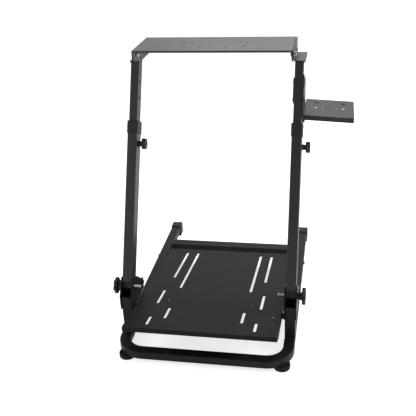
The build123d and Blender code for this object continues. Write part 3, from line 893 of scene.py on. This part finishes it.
@dataclass
class BoltSet:
    """Bolts along X with washers, heads and nuts in place of plain CAD bolts."""

    node: str
    body: str
    material: bpy.types.Material
    ends: tuple[HeadStyle, HeadStyle]
    flats_per_radius: float = 3.25
    height_per_radius: float = 1.35
    washer_per_radius: float = 0.28
    chamfer_share: float = 0.07
    button_height: float = 0.0028
    hex_sides: int = 48

    def _hex(
        self, mesh: bmesh.types.BMesh, spindle: Spindle, start: float, end: float, flats: float
    ) -> None:
        """Add a hexagon with a chamfered outer face.

        Args:
            mesh: The mesh that it is added to.
            spindle: The bolt's axis.
            start: Place of the seat along the axis.
            end: Place of the outer face.
            flats: Distance across the flats.
        """
        corner = flats / math.sqrt(3)
        chamfer = flats * self.chamfer_share
        profile = (
            (start, corner * 1.01),
            (end - chamfer, corner * 1.01),
            (end - chamfer * 0.35, corner * 0.93),
            (end, flats / 2 * 0.94),
        )

        def reach(turn: float, limit: float) -> float:
            """Radius of the hexagon at an angle, cut off at a limit."""
            sector = (turn + math.pi / 6) % (math.pi / 3) - math.pi / 6
            return min(limit, flats / 2 / math.cos(sector - math.copysign(math.pi / 6, sector)))

        rings = [
            spindle.ring(mesh, along, lambda turn, cap=limit: reach(turn, cap), self.hex_sides)
            for along, limit in profile
        ]
        ring_faces(mesh, rings)

    def _end(self, mesh: bmesh.types.BMesh, spindle: Spindle, radius: float, style: HeadStyle) -> None:
        """Add what stands at one end of a bolt.

        Args:
            mesh: The mesh that it is added to.
            spindle: Axis that starts at the seat and points outwards.
            radius: Radius of the shank.
            style: Kind of head or nut.
        """
        if style is HeadStyle.BUTTON:
            rim, top = radius * self.flats_per_radius / 2, self.button_height
            lathe(
                mesh,
                (
                    (0.0, rim * 0.96),
                    (top * 0.2, rim),
                    (top * 0.55, rim * 0.93),
                    (top * 0.85, rim * 0.76),
                    (top, rim * 0.52),
                    (top, rim * 0.36),
                    (top * 0.35, rim * 0.34),
                ),
                spindle,
            )
            return
        height = radius * self.height_per_radius
        washer = radius * self.washer_per_radius
        lathe(
            mesh, ((0.0, radius * 1.9), (washer * 0.2, radius * 2.0), (washer, radius * 1.95)), spindle
        )
        flats = radius * self.flats_per_radius * 0.985
        if style is HeadStyle.HEX:
            self._hex(mesh, spindle, washer, height, flats)
            return
        top = height * 0.75
        self._hex(mesh, spindle, washer, top, flats)
        lathe(
            mesh,
            (
                (washer, radius * 1.3),
                (top + height * 0.12, radius * 1.3),
                (top + height * 0.2, radius * 1.05),
                (height * 0.97, radius * 0.98),
                (height, radius * 0.85),
            ),
            spindle,
            32,
        )

    def build(self) -> None:
        """Make every bolt of the node."""
        mesh = bmesh.new()
        for low, high in islands(self.node):
            centre = (low + high) / 2
            radius = (high.z - low.z) / self.flats_per_radius
            height = radius * self.height_per_radius
            seats = (low.x + height, high.x - height)
            for seat, way, style in ((seats[0], -1, self.ends[0]), (seats[1], 1, self.ends[1])):
                start = Vector((seat, centre.y, centre.z))
                self._end(mesh, Spindle(start, RIGHTWARD * way, BACKWARD), radius, style)
            shank = Spindle(Vector((seats[0], centre.y, centre.z)), RIGHTWARD, BACKWARD)
            lathe(mesh, ((0.0, radius * 0.98), (seats[1] - seats[0], radius * 0.98)), shank, 24)
        piece = new_piece(f"{self.node}_bolts", mesh, self.material, self.body, 25.0)
        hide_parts(self.node)
        log.info("bolts %s", self.node)


def bolt_ends(side: str) -> tuple[HeadStyle, HeadStyle]:
    """Ends of a side's bolts, with each head on the outer face.

    Args:
        side: Which side of the stand.

    Returns:
        What stands at the left and at the right end.
    """
    head, nut = HeadStyle.HEX, HeadStyle.LOCK_NUT
    return (head, nut) if side == "left" else (nut, head)


@dataclass
class ThreadedStud:
    """A threaded stud in place of a plain CAD stud."""

    node: str
    body: str
    along: Vector
    spoke: Vector
    pitch: float = 0.0015
    depth: float = 0.0005

    def build(self, finishes: Finishes) -> None:
        """Make the stud.

        Args:
            finishes: The stand's finishes.
        """
        spindle = Spindle.of_node(self.node, self.along, self.spoke)
        radius, length = spindle.radius, spindle.length
        turns = int((length - 2 * self.pitch) / self.pitch)
        profile = [(0.0, radius * 0.8), (self.pitch * 0.6, radius - self.depth)]
        for index in range(turns):
            start = self.pitch * (1 + index)
            profile.append((start, radius - self.depth))
            profile.append((start + self.pitch * 0.5, radius))
        profile.append((length - self.pitch * 0.6, radius - self.depth))
        profile.append((length, radius * 0.8))
        mesh = bmesh.new()
        lathe(mesh, profile, spindle, 32)
        piece = new_piece(f"{self.node}_thread", mesh, finishes.steel, self.body, 20.0)
        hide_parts(self.node)
        log.info("stud %s", self.node)


@dataclass
class WeldBead:
    """A rippled weld bead that runs along a line of points."""

    name: str
    points: Sequence[Vector]
    body: str
    radius: float = 0.0022
    ripple: float = 0.0022
    points_per_ripple: int = 4
    sides: int = 10
    drift_waves: tuple[tuple[float, float, float], ...] = ((0.05, 310.0, 0.0), (0.04, 173.0, 1.0))

    def _line(self) -> list[Vector]:
        """Lay points a quarter of a ripple apart along the bead.

        Returns:
            The points in order.
        """
        step = self.ripple / self.points_per_ripple
        line = []
        for first, second in zip(self.points, self.points[1:]):
            count = max(2, int((second - first).length / step))
            line.extend(first.lerp(second, index / count) for index in range(count))
        line.append(self.points[-1])
        return line

    def _size(self, travelled: float) -> float:
        """Radius of the bead, which swells with each ripple and drifts a little.

        Args:
            travelled: Distance from the start of the bead.

        Returns:
            The radius in metres.
        """
        phase = (travelled / self.ripple) % 1.0
        swell = 0.88 + 0.16 * math.sqrt(1.0 - phase)
        waves = (depth * math.sin(travelled * pace + start) for depth, pace, start in self.drift_waves)
        return self.radius * swell * (1.0 + sum(waves))

    def build(self, finishes: Finishes) -> bpy.types.Object:
        """Make the bead.

        Args:
            finishes: The stand's finishes.

        Returns:
            The bead's object.
        """
        line = self._line()
        mesh = bmesh.new()
        rings = []
        travelled = 0.0
        for index, point in enumerate(line):
            ahead = line[min(index + 1, len(line) - 1)]
            behind = line[max(index - 1, 0)]
            along = (ahead - behind).normalized()
            travelled += (point - behind).length
            across = along.orthogonal().normalized()
            bead = Spindle(point, along, across)
            size = self._size(travelled)
            rings.append(bead.ring(mesh, 0.0, lambda turn, size=size: size, self.sides))
        ring_faces(mesh, rings)
        return new_piece(self.name, mesh, finishes.frame, self.body, 60.0)


@dataclass
class Studio:
    """Plain pale floor, soft lamps and the photograph's camera."""

    eye: tuple[float, float, float] = (0.29542, -1.93733, 1.28729)
    yaw: float = 11.43
    pitch: float = 26.16
    roll: float = 2.91
    lens: float = 59.80
    sensor: float = 36.0
    near_clip: float = 0.05
    floor_half: float = 9.0
    floor_tone: float = 0.82
    floor_glow: float = 0.74
    floor_sheen: float = 0.35
    ambient: float = 0.35
    wall_top: tuple[float, float] = (0.30, 0.62)
    ceiling_dimming: float = 0.85

    def build(self) -> None:
        """Make the camera, the lamps, the world and the floor."""
        self._camera()
        self._lamps()
        self._world()
        self._floor()
        bpy.context.scene.view_settings.view_transform = "Standard"

    def _camera(self) -> None:
        """Place the camera at the photograph's angle."""
        yaw, pitch, roll = (math.radians(angle) for angle in (self.yaw, self.pitch, self.roll))
        level = Vector((-math.sin(yaw), math.cos(yaw), 0.0))
        ahead = level * math.cos(pitch) - Vector((0.0, 0.0, math.sin(pitch)))
        right = Vector((math.cos(yaw), math.sin(yaw), 0.0))
        down = ahead.cross(right)
        image_right = math.cos(roll) * right + math.sin(roll) * down
        image_down = math.cos(roll) * down - math.sin(roll) * right
        turn = Matrix((image_right, -image_down, -ahead)).transposed().to_4x4()
        data = bpy.data.cameras.new("camera")
        data.lens = self.lens
        data.sensor_width = self.sensor
        data.clip_start = self.near_clip
        camera = bpy.data.objects.new("camera", data)
        camera.matrix_world = Matrix.Translation(self.eye) @ turn
        bpy.context.scene.collection.objects.link(camera)
        bpy.context.scene.camera = camera

    def _lamp(
        self, name: str, place: Sequence[float], aim: Sequence[float], size: float, power: float
    ) -> None:
        """Add one soft square lamp.

        Args:
            name: Name of the lamp.
            place: Where it stands.
            aim: Point that it faces.
            size: Side of its square in metres.
            power: Its power in watts.
        """
        data = bpy.data.lights.new(name, "AREA")
        data.shape = "SQUARE"
        data.size = size
        data.energy = power
        lamp = bpy.data.objects.new(name, data)
        lamp.location = place
        facing = Vector(aim) - Vector(place)
        lamp.rotation_mode = "QUATERNION"
        lamp.rotation_quaternion = facing.to_track_quat("-Z", "Y")
        bpy.context.scene.collection.objects.link(lamp)

    def _lamps(self) -> None:
        """Add the soft lamps."""
        middle = (-0.05, 0.0, 0.4)
        self._lamp("key_right", (2.6, 0.2, 1.7), middle, 1.8, 60.0)
        self._lamp("fill_left", (-2.4, -1.6, 2.0), middle, 2.0, 22.0)
        self._lamp("top_rear", (0.2, 1.6, 2.6), middle, 2.0, 35.0)

    def _world(self) -> None:
        """White background with a white wall and a dimmer ceiling in reflections."""
        world = bpy.data.worlds.new("studio")
        world.use_nodes = True
        bpy.context.scene.world = world
        graph = Graph(world.node_tree)
        seen, reflected = graph.rays()
        direction = graph.add("ShaderNodeTexCoord", output="Generated")
        height = graph.add("ShaderNodeSeparateXYZ", None, {0: direction}, "Z")
        wall = 1.0 - height.rising(*self.wall_top) * self.ceiling_dimming
        rest = (1.0 - seen) * (1.0 - reflected)
        strength = seen + reflected * wall + rest * self.ambient
        background = graph.add(
            "ShaderNodeBackground", None, {"Color": (1.0, 1.0, 1.0, 1.0), "Strength": strength}
        )
        graph.add("ShaderNodeOutputWorld", None, {"Surface": background})

    def _floor(self) -> None:
        """Pale floor that keeps the object's shadow."""
        mesh = bmesh.new()
        half = self.floor_half
        corners = ((-half, -half), (half, -half), (half, half), (-half, half))
        mesh.faces.new([mesh.verts.new((x, y, 0.0)) for x, y in corners])
        data = bpy.data.meshes.new("floor")
        mesh.to_mesh(data)
        mesh.free()
        material, graph = new_material("pale_floor")
        seen, reflected = graph.rays()
        strength = seen * self.floor_glow + reflected * self.floor_sheen
        tone = self.floor_tone
        diffuse = graph.add("ShaderNodeBsdfDiffuse", None, {"Color": (tone, tone, tone, 1.0)})
        white = (1.0, 1.0, 1.0, 1.0)
        glow = graph.add("ShaderNodeEmission", None, {"Color": white, "Strength": strength})
        both = graph.add("ShaderNodeAddShader", None, {0: diffuse, 1: glow})
        graph.add("ShaderNodeOutputMaterial", None, {"Surface": both})
        data.materials.append(material)
        floor = bpy.data.objects.new("floor", data)
        bpy.context.scene.collection.objects.link(floor)


# Sub-assemblies


@dataclass(frozen=True)
class Base:
    """U-shaped base with its posts, hinge brackets, feet and pedal plate."""

    finishes: Finishes
    body: str = Body.BASE.value
    flange_cut_back: float = 32 * MM
    flange_slope: float = 0.136
    flange_zone_back: float = 22 * MM
    flange_zone_down: float = 20 * MM
    arm_drop: float = 13 * MM
    arm_zone_ahead: float = 8 * MM
    arm_zone_up: float = 20 * MM
    foot_spread: float = 0.12
    foot_shift_out: float = 3 * MM
    foot_shift_ahead: float = 4 * MM
    weld_inset: float = 3 * MM

    def _trim_flange(self, mesh: bmesh.types.BMesh) -> None:
        """Cut the pedal plate's side flanges back behind its front lip.

        Args:
            mesh: The pedal plate's mesh, changed in place.
        """
        front = min(vertex.co.y for vertex in mesh.verts) + self.flange_zone_back
        low = max(vertex.co.z for vertex in mesh.verts) - self.flange_zone_down
        back = self.flange_cut_back
        shift_corners(
            mesh,
            lambda point: point.y < front and point.z < low,
            lambda point: Vector((0.0, back, -back * self.flange_slope)),
        )

    def _deepen_arm(self, mesh: bmesh.types.BMesh) -> None:
        """Carry a hinge bracket's arm down behind the pedal plate's edge.

        Args:
            mesh: The bracket's mesh, changed in place.
        """
        rear = max(vertex.co.y for vertex in mesh.verts) - self.arm_zone_ahead
        low = min(vertex.co.z for vertex in mesh.verts) + self.arm_zone_up
        shift_corners(
            mesh,
            lambda point: point.y > rear and point.z < low,
            lambda point: Vector((0.0, 0.0, -self.arm_drop)),
        )

    def _spread_foot(self, mesh: bmesh.types.BMesh) -> None:
        """Widen a front foot about its middle and set it a little outwards.

        Args:
            mesh: The foot's mesh, changed in place.
        """
        points = [vertex.co.copy() for vertex in mesh.verts]
        centre = sum(points, Vector()) / len(points)
        centre.z = 0.0
        out = math.copysign(self.foot_shift_out, centre.x - middle_plane())
        move = Vector((out, -self.foot_shift_ahead, 0.0))

        def spread(point: Vector) -> Vector:
            """Shift of a corner that widens the foot."""
            return (Vector((point.x, point.y, 0.0)) - centre) * self.foot_spread + move

        shift_corners(mesh, lambda point: True, spread)

    def _frame(self) -> None:
        """The tubes, the posts and their end caps."""
        paint, plastic = self.finishes.base, self.finishes.plastic
        names = ["front_tube", "rear_crossbar"]
        names += [f"{side}_{word}" for side in SIDES for word in ("rail", "post")]
        for name in names:
            RoundedPiece(name, self.body, "frame_black", paint).build()
        for side in SIDES:
            RoundedPiece(f"{side}_rail_cap", self.body, "cap_plastic", plastic, 1.5 * MM, 3).build()

    def _fittings(self, side: str) -> None:
        """The hinge bracket, foot, spacers and bolts of one side.

        Args:
            side: Which side of the stand.
        """
        paint, dark, plastic = self.finishes.base, self.finishes.black_bolt, self.finishes.plastic
        rubber, body = self.finishes.rubber, self.body
        bracket, foot = f"{side}_hinge_bracket", f"{side}_front_foot"
        RoundedPiece(bracket, body, "frame_black", paint, 0.5 * MM, reshape=self._deepen_arm).build()
        RoundedPiece(foot, body, "foot_rubber", rubber, 1.0 * MM, reshape=self._spread_foot).build()
        RoundedPiece(f"{side}_pedal_spacers", body, "cap_plastic", plastic, 0.5 * MM).build()
        BoltSet(f"{side}_stop_bolt", body, dark, bolt_ends(side)).build()
        BoltSet(f"{side}_pedal_bolts", body, dark, bolt_ends(side)).build()

    def _post_welds(self, side: str) -> None:
        """Beads across the front and rear foot of a post.

        Args:
            side: Which side of the stand.
        """
        low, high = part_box(f"{side}_post")
        near, far = low.x + self.weld_inset, high.x - self.weld_inset
        for word, back in (("front", low.y), ("rear", high.y)):
            points = (Vector((near, back, low.z)), Vector((far, back, low.z)))
            WeldBead(f"{side}_post_{word}_weld", points, self.body).build(self.finishes)

    def _crossbar_welds(self, side: str) -> None:
        """Beads over and before a crossbar end.

        Args:
            side: Which side of the stand.
        """
        low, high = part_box("rear_crossbar")
        across = low.x if side == "left" else high.x
        inset = self.weld_inset
        top = (Vector((across, low.y + inset, high.z)), Vector((across, high.y - inset, high.z)))
        front = (Vector((across, low.y, low.z + inset)), Vector((across, low.y, high.z - inset)))
        for word, points in (("top", top), ("front", front)):
            WeldBead(f"{side}_crossbar_{word}_weld", points, self.body).build(self.finishes)

    def build(self) -> None:
        """Make and dress the base."""
        self._frame()
        FoldedPiece(
            "pedal_plate",
            self.body,
            "plate_black",
            self.finishes.deck,
            reshape=self._trim_flange,
            # Hole walls get the painted-shade finish.
            bore=self.finishes.bore,
        ).build()
        for side in SIDES:
            self._fittings(side)
            self._post_welds(side)
            self._crossbar_welds(side)


@dataclass(frozen=True)
class Uprights:
    """The folding uprights with their pivot blocks and collars."""

    finishes: Finishes
    body: str = Body.UPRIGHTS.value

    def build(self) -> None:
        """Make and dress the uprights."""
        paint, plastic = self.finishes.frame, self.finishes.plastic
        for side in SIDES:
            RoundedPiece(f"{side}_pivot_block", self.body, "cap_plastic", plastic, 1.0 * MM).build()
            RoundedPiece(f"{side}_lower_upright", self.body, "frame_black", paint).build()
            RoundedPiece(f"{side}_collar", self.body, "cap_plastic", plastic, 0.6 * MM).build()


@dataclass(frozen=True)
class HeightSlide:
    """The sliding tubes with their top brackets and the shifter's arm and plate."""

    finishes: Finishes
    body: str = Body.SLIDE.value
    sheet: float = 3 * MM
    shown_sheet: float = 1.4 * MM
    foot_narrowing: float = 6 * MM
    foot_setback: float = 11 * MM
    weld_level: float = 0.3 * MM
    weld_inset: float = 4 * MM
    weld_start: float = 2 * MM

    def _thin_sheet(self, mesh: bmesh.types.BMesh) -> None:
        """Show the shifter plate's sheet as thin as the photograph does.

        Args:
            mesh: The shifter plate's mesh, changed in place.
        """
        fold = FoldedSheet.of_mesh(mesh)
        underside = fold.top - self.sheet
        shift_corners(
            mesh,
            lambda point: abs(underside - point @ fold.up) < LEVEL_SLACK,
            lambda point: fold.up * (self.sheet - self.shown_sheet),
        )

    def _trim_foot(self, mesh: bmesh.types.BMesh) -> None:
        """Show a top bracket's foot as narrow and as far back as the photograph does.

        Args:
            mesh: The bracket's mesh, changed in place.
        """
        level = min(vertex.co.z for vertex in mesh.verts) + self.sheet + LEVEL_SLACK
        foot = [vertex.co for vertex in mesh.verts if vertex.co.z < level]
        front = min(point.y for point in foot) + EDGE_SLACK
        sign = math.copysign(1.0, foot[0].x - middle_plane())
        outer = max(sign * point.x for point in foot) - EDGE_SLACK
        shift_corners(
            mesh,
            lambda point: sign * point.x > outer,
            lambda point: Vector((-sign * self.foot_narrowing, 0.0, 0.0)),
        )
        shift_corners(
            mesh,
            lambda point: point.z < level and point.y < front,
            lambda point: Vector((0.0, self.foot_setback, 0.0)),
        )

    def _bracket_welds(self, side: str) -> None:
        """Beads under a top bracket's foot, where the upper tube meets it.

        Args:
            side: Which side of the stand.
        """
        tube = [vertex.co for vertex in frame["nodes"][f"{side}_upper_tube"].data.vertices]
        foot = [vertex.co for vertex in frame["nodes"][f"{side}_top_bracket"].data.vertices]
        top = max(point.z for point in tube)
        cut = [point for point in tube if point.z > top - self.weld_level]
        sole = [point for point in foot if point.z < top + self.weld_level]
        edges = (min(point.x for point in cut), max(point.x for point in cut))
        inner, outer = edges if side == "right" else edges[::-1]
        front = max(min(point.y for point in cut), min(point.y for point in sole)) + self.weld_start
        rear = max(point.y for point in cut)
        inset = math.copysign(self.weld_inset, outer - inner)
        flank = (Vector((outer, front, top)), Vector((outer, rear - self.weld_inset, top)))
        back = (Vector((inner + inset, rear, top)), Vector((outer - inset, rear, top)))
        for word, points in (("flank", flank), ("rear", back)):
            WeldBead(f"{side}_bracket_{word}_weld", points, self.body).build(self.finishes)

    def _shifter(self) -> None:
        """The shifter's plate, arm, clamp plate and bolts."""
        paint, dark, bright = self.finishes.frame, self.finishes.black_bolt, self.finishes.steel
        FoldedPiece(
            "shifter_plate",
            self.body,
            "plate_black",
            self.finishes.side_plate,
            reshape=self._thin_sheet,
            # Hole walls get the painted-shade finish.
            bore=self.finishes.bore,
        ).build()
        for name in ("shifter_arm", "shifter_clamp_plate"):
            RoundedPiece(name, self.body, "frame_black", paint).build()
        heads = (HeadStyle.BUTTON, HeadStyle.BUTTON)
        BoltSet("shifter_arm_bolts", self.body, dark, heads).build()
        BoltSet("shifter_plate_bolts", self.body, bright, (HeadStyle.LOCK_NUT, HeadStyle.HEX)).build()

    def build(self) -> None:
        """Make and dress the slide."""
        paint, body = self.finishes.frame, self.body
        self._shifter()
        for side in SIDES:
            bracket = f"{side}_top_bracket"
            RoundedPiece(f"{side}_upper_tube", body, "frame_black", paint).build()
            RoundedPiece(bracket, body, "frame_black", paint, 0.5 * MM, reshape=self._trim_foot).build()
            self._bracket_welds(side)


@dataclass(frozen=True)
class WheelMount:
    """The tilting wheel plate and its bolts."""

    finishes: Finishes
    body: str = Body.WHEEL.value
    lip: float = 9 * MM
    shown_lip: float = 6 * MM

    def _trim_lip(self, mesh: bmesh.types.BMesh) -> None:
        """Give the wheel plate the photograph's shallower lips.

        Args:
            mesh: The wheel plate's mesh, changed in place.
        """
        level = max(vertex.co.z for vertex in mesh.verts) - self.lip
        shift_corners(
            mesh,
            lambda point: abs(level - point.z) < LEVEL_SLACK,
            lambda point: Vector((0.0, 0.0, self.lip - self.shown_lip)),
        )

    def build(self) -> None:
        """Make and dress the wheel plate and its bolts."""
        FoldedPiece(
            "wheel_plate",
            self.body,
            "plate_black",
            self.finishes.plate,
            reshape=self._trim_lip,
            # Hole walls get the painted-shade finish.
            bore=self.finishes.bore,
        ).build()
        for side in SIDES:
            BoltSet(f"{side}_tilt_bolts", self.body, self.finishes.steel, bolt_ends(side)).build()


@dataclass(frozen=True)
class Clamps:
    """The star knobs and threaded studs that clamp the pivots and the slide."""

    finishes: Finishes
    pivot_hub: float = 12.7 * MM
    height_hub: float = 5 * MM
    height_pitch: float = 1.25 * MM

    def build(self) -> None:
        """Make the knobs and studs of both sides."""
        for side in SIDES:
            outward = -RIGHTWARD if side == "left" else RIGHTWARD
            pivot, height = f"{side}_pivot_clamp", f"{side}_height_clamp"
            knobs = (
                StarKnob(f"{side}_pivot_knob", pivot, outward, BACKWARD, self.pivot_hub),
                StarKnob(f"{side}_height_knob", height, RIGHTWARD, REARWARD, self.height_hub),
            )
            studs = (
                ThreadedStud(f"{side}_pivot_bolt", pivot, outward, BACKWARD),
                ThreadedStud(f"{side}_height_stud", height, RIGHTWARD, REARWARD, self.height_pitch),
            )
            for item in knobs + studs:
                item.build(self.finishes)


def main() -> None:
    """Build the studio and the stand."""
    logging.basicConfig(level=logging.INFO, format="%(message)s")
    Studio().build()
    finishes = Finishes.make()
    for assembly in (Base, Uprights, HeightSlide, WheelMount, Clamps):
        assembly(finishes).build()
        log.info("built %s", assembly.__name__)


if __name__ == "__main__":
    main()
